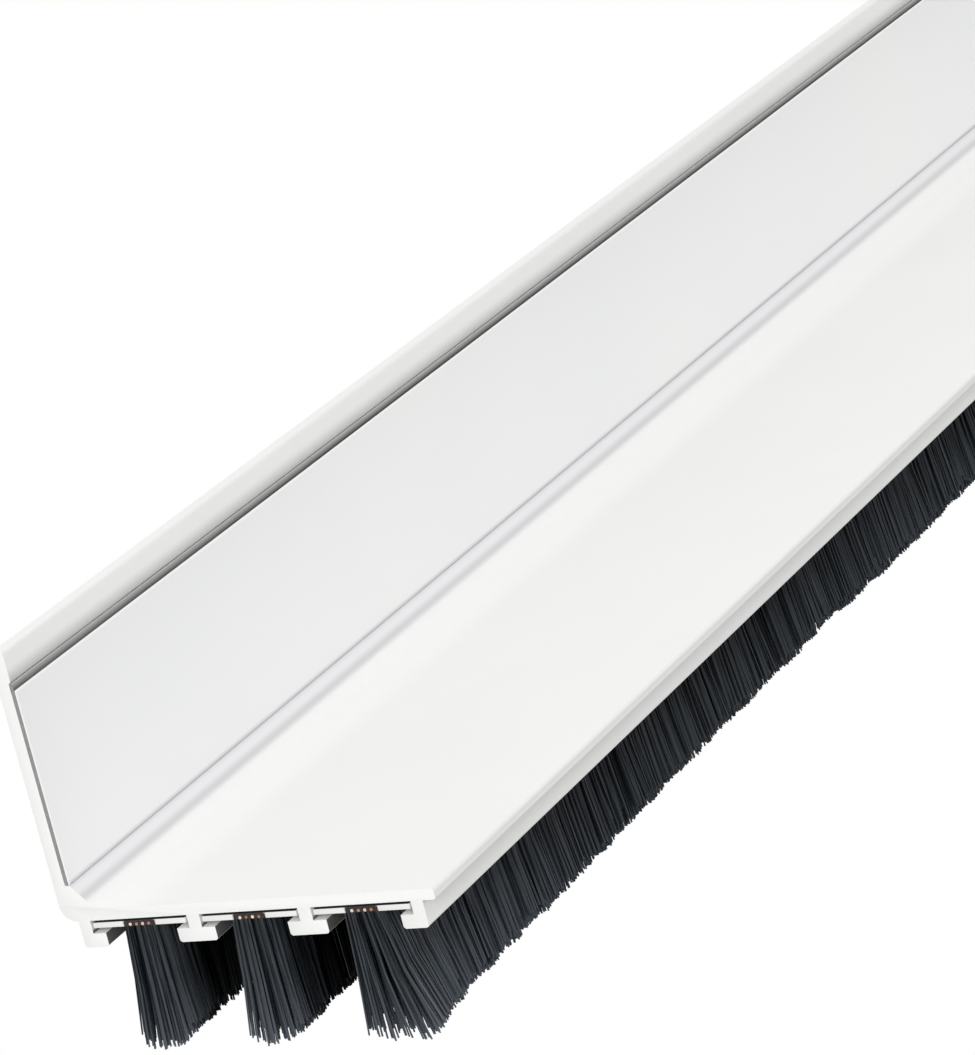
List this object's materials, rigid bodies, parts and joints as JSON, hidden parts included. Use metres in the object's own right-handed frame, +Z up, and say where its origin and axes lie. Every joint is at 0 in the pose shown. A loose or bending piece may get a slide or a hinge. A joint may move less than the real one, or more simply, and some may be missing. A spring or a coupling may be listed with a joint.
{
  "type": "door sweep",
  "caption": "L-shaped white door sweep: adhesive tape on the upright leaf sticks to the door's face, and rows of dark bristles slide in T-slots under the short leaf.",
  "frame": {"origin": "on the release liner's outer face, at mid-length and level with the middle of the tape", "axes": "+X along the sweep; -Y out of the taped face, towards the door; +Z up, away from the bristles"},
  "size_m": [0.9144, 0.0379, 0.0391],
  "materials": {
    "white_extrusion": "satin",
    "adhesive": "satin",
    "grey_foam": "matte",
    "release_film": "satin",
    "woven_ribbon": "satin",
    "woven_band": "matte",
    "cream_thread": "matte",
    "brown_thread": "matte",
    "dark_bristles": "satin"
  },
  "bodies": {
    "profile": {"sweep_profile": "white_extrusion", "tape_inner_adhesive": "adhesive", "tape_foam": "grey_foam", "tape_outer_adhesive": "adhesive"},
    "liner": {"release_liner": "release_film"},
    "strip_1": {"strip_1_ribbon": "woven_ribbon", "strip_1_woven_band": "woven_band", "strip_1_thread_1": "brown_thread", "strip_1_thread_2": "cream_thread", "strip_1_thread_3": "brown_thread", "strip_1_thread_4": "cream_thread"},
    "bristles_1": {"strip_1_bristles": "dark_bristles"},
    "strip_2": {"strip_2_ribbon": "woven_ribbon", "strip_2_woven_band": "woven_band", "strip_2_thread_1": "brown_thread", "strip_2_thread_2": "cream_thread", "strip_2_thread_3": "brown_thread", "strip_2_thread_4": "cream_thread"},
    "bristles_2": {"strip_2_bristles": "dark_bristles"},
    "strip_3": {"strip_3_ribbon": "woven_ribbon", "strip_3_woven_band": "woven_band", "strip_3_thread_1": "brown_thread", "strip_3_thread_2": "cream_thread", "strip_3_thread_3": "brown_thread", "strip_3_thread_4": "cream_thread"},
    "bristles_3": {"strip_3_bristles": "dark_bristles"}
  },
  "joints": [
    {"name": "liner_peel", "type": "slide", "parent": "profile", "child": "liner", "axis": [0, -1, 0], "range_m": [0, 0.03]},
    {"name": "strip_1_slide", "type": "slide", "parent": "profile", "child": "strip_1", "axis": [1, 0, 0], "range_m": [-0.9144, 0.9144]},
    {"name": "bristles_1_flex", "type": "hinge", "parent": "strip_1", "child": "bristles_1", "pos_m": [0, -0.0061, -0.0157], "axis": [1, 0, 0], "range_deg": [-25, 25], "stiffness_Nm_per_rad": 0.02},
    {"name": "strip_2_slide", "type": "slide", "parent": "profile", "child": "strip_2", "axis": [1, 0, 0], "range_m": [-0.9144, 0.9144]},
    {"name": "bristles_2_flex", "type": "hinge", "parent": "strip_2", "child": "bristles_2", "pos_m": [0, -0.0174, -0.0157], "axis": [1, 0, 0], "range_deg": [-25, 25], "stiffness_Nm_per_rad": 0.02},
    {"name": "strip_3_slide", "type": "slide", "parent": "profile", "child": "strip_3", "axis": [1, 0, 0], "range_m": [-0.9144, 0.9144]},
    {"name": "bristles_3_flex", "type": "hinge", "parent": "strip_3", "child": "bristles_3", "pos_m": [0, -0.0287, -0.0157], "axis": [1, 0, 0], "range_deg": [-25, 25], "stiffness_Nm_per_rad": 0.02}
  ],
  "couplings": [
    {"joint": "bristles_2_flex", "follows": "bristles_1_flex", "ratio": 1},
    {"joint": "bristles_3_flex", "follows": "bristles_1_flex", "ratio": 1}
  ]
}
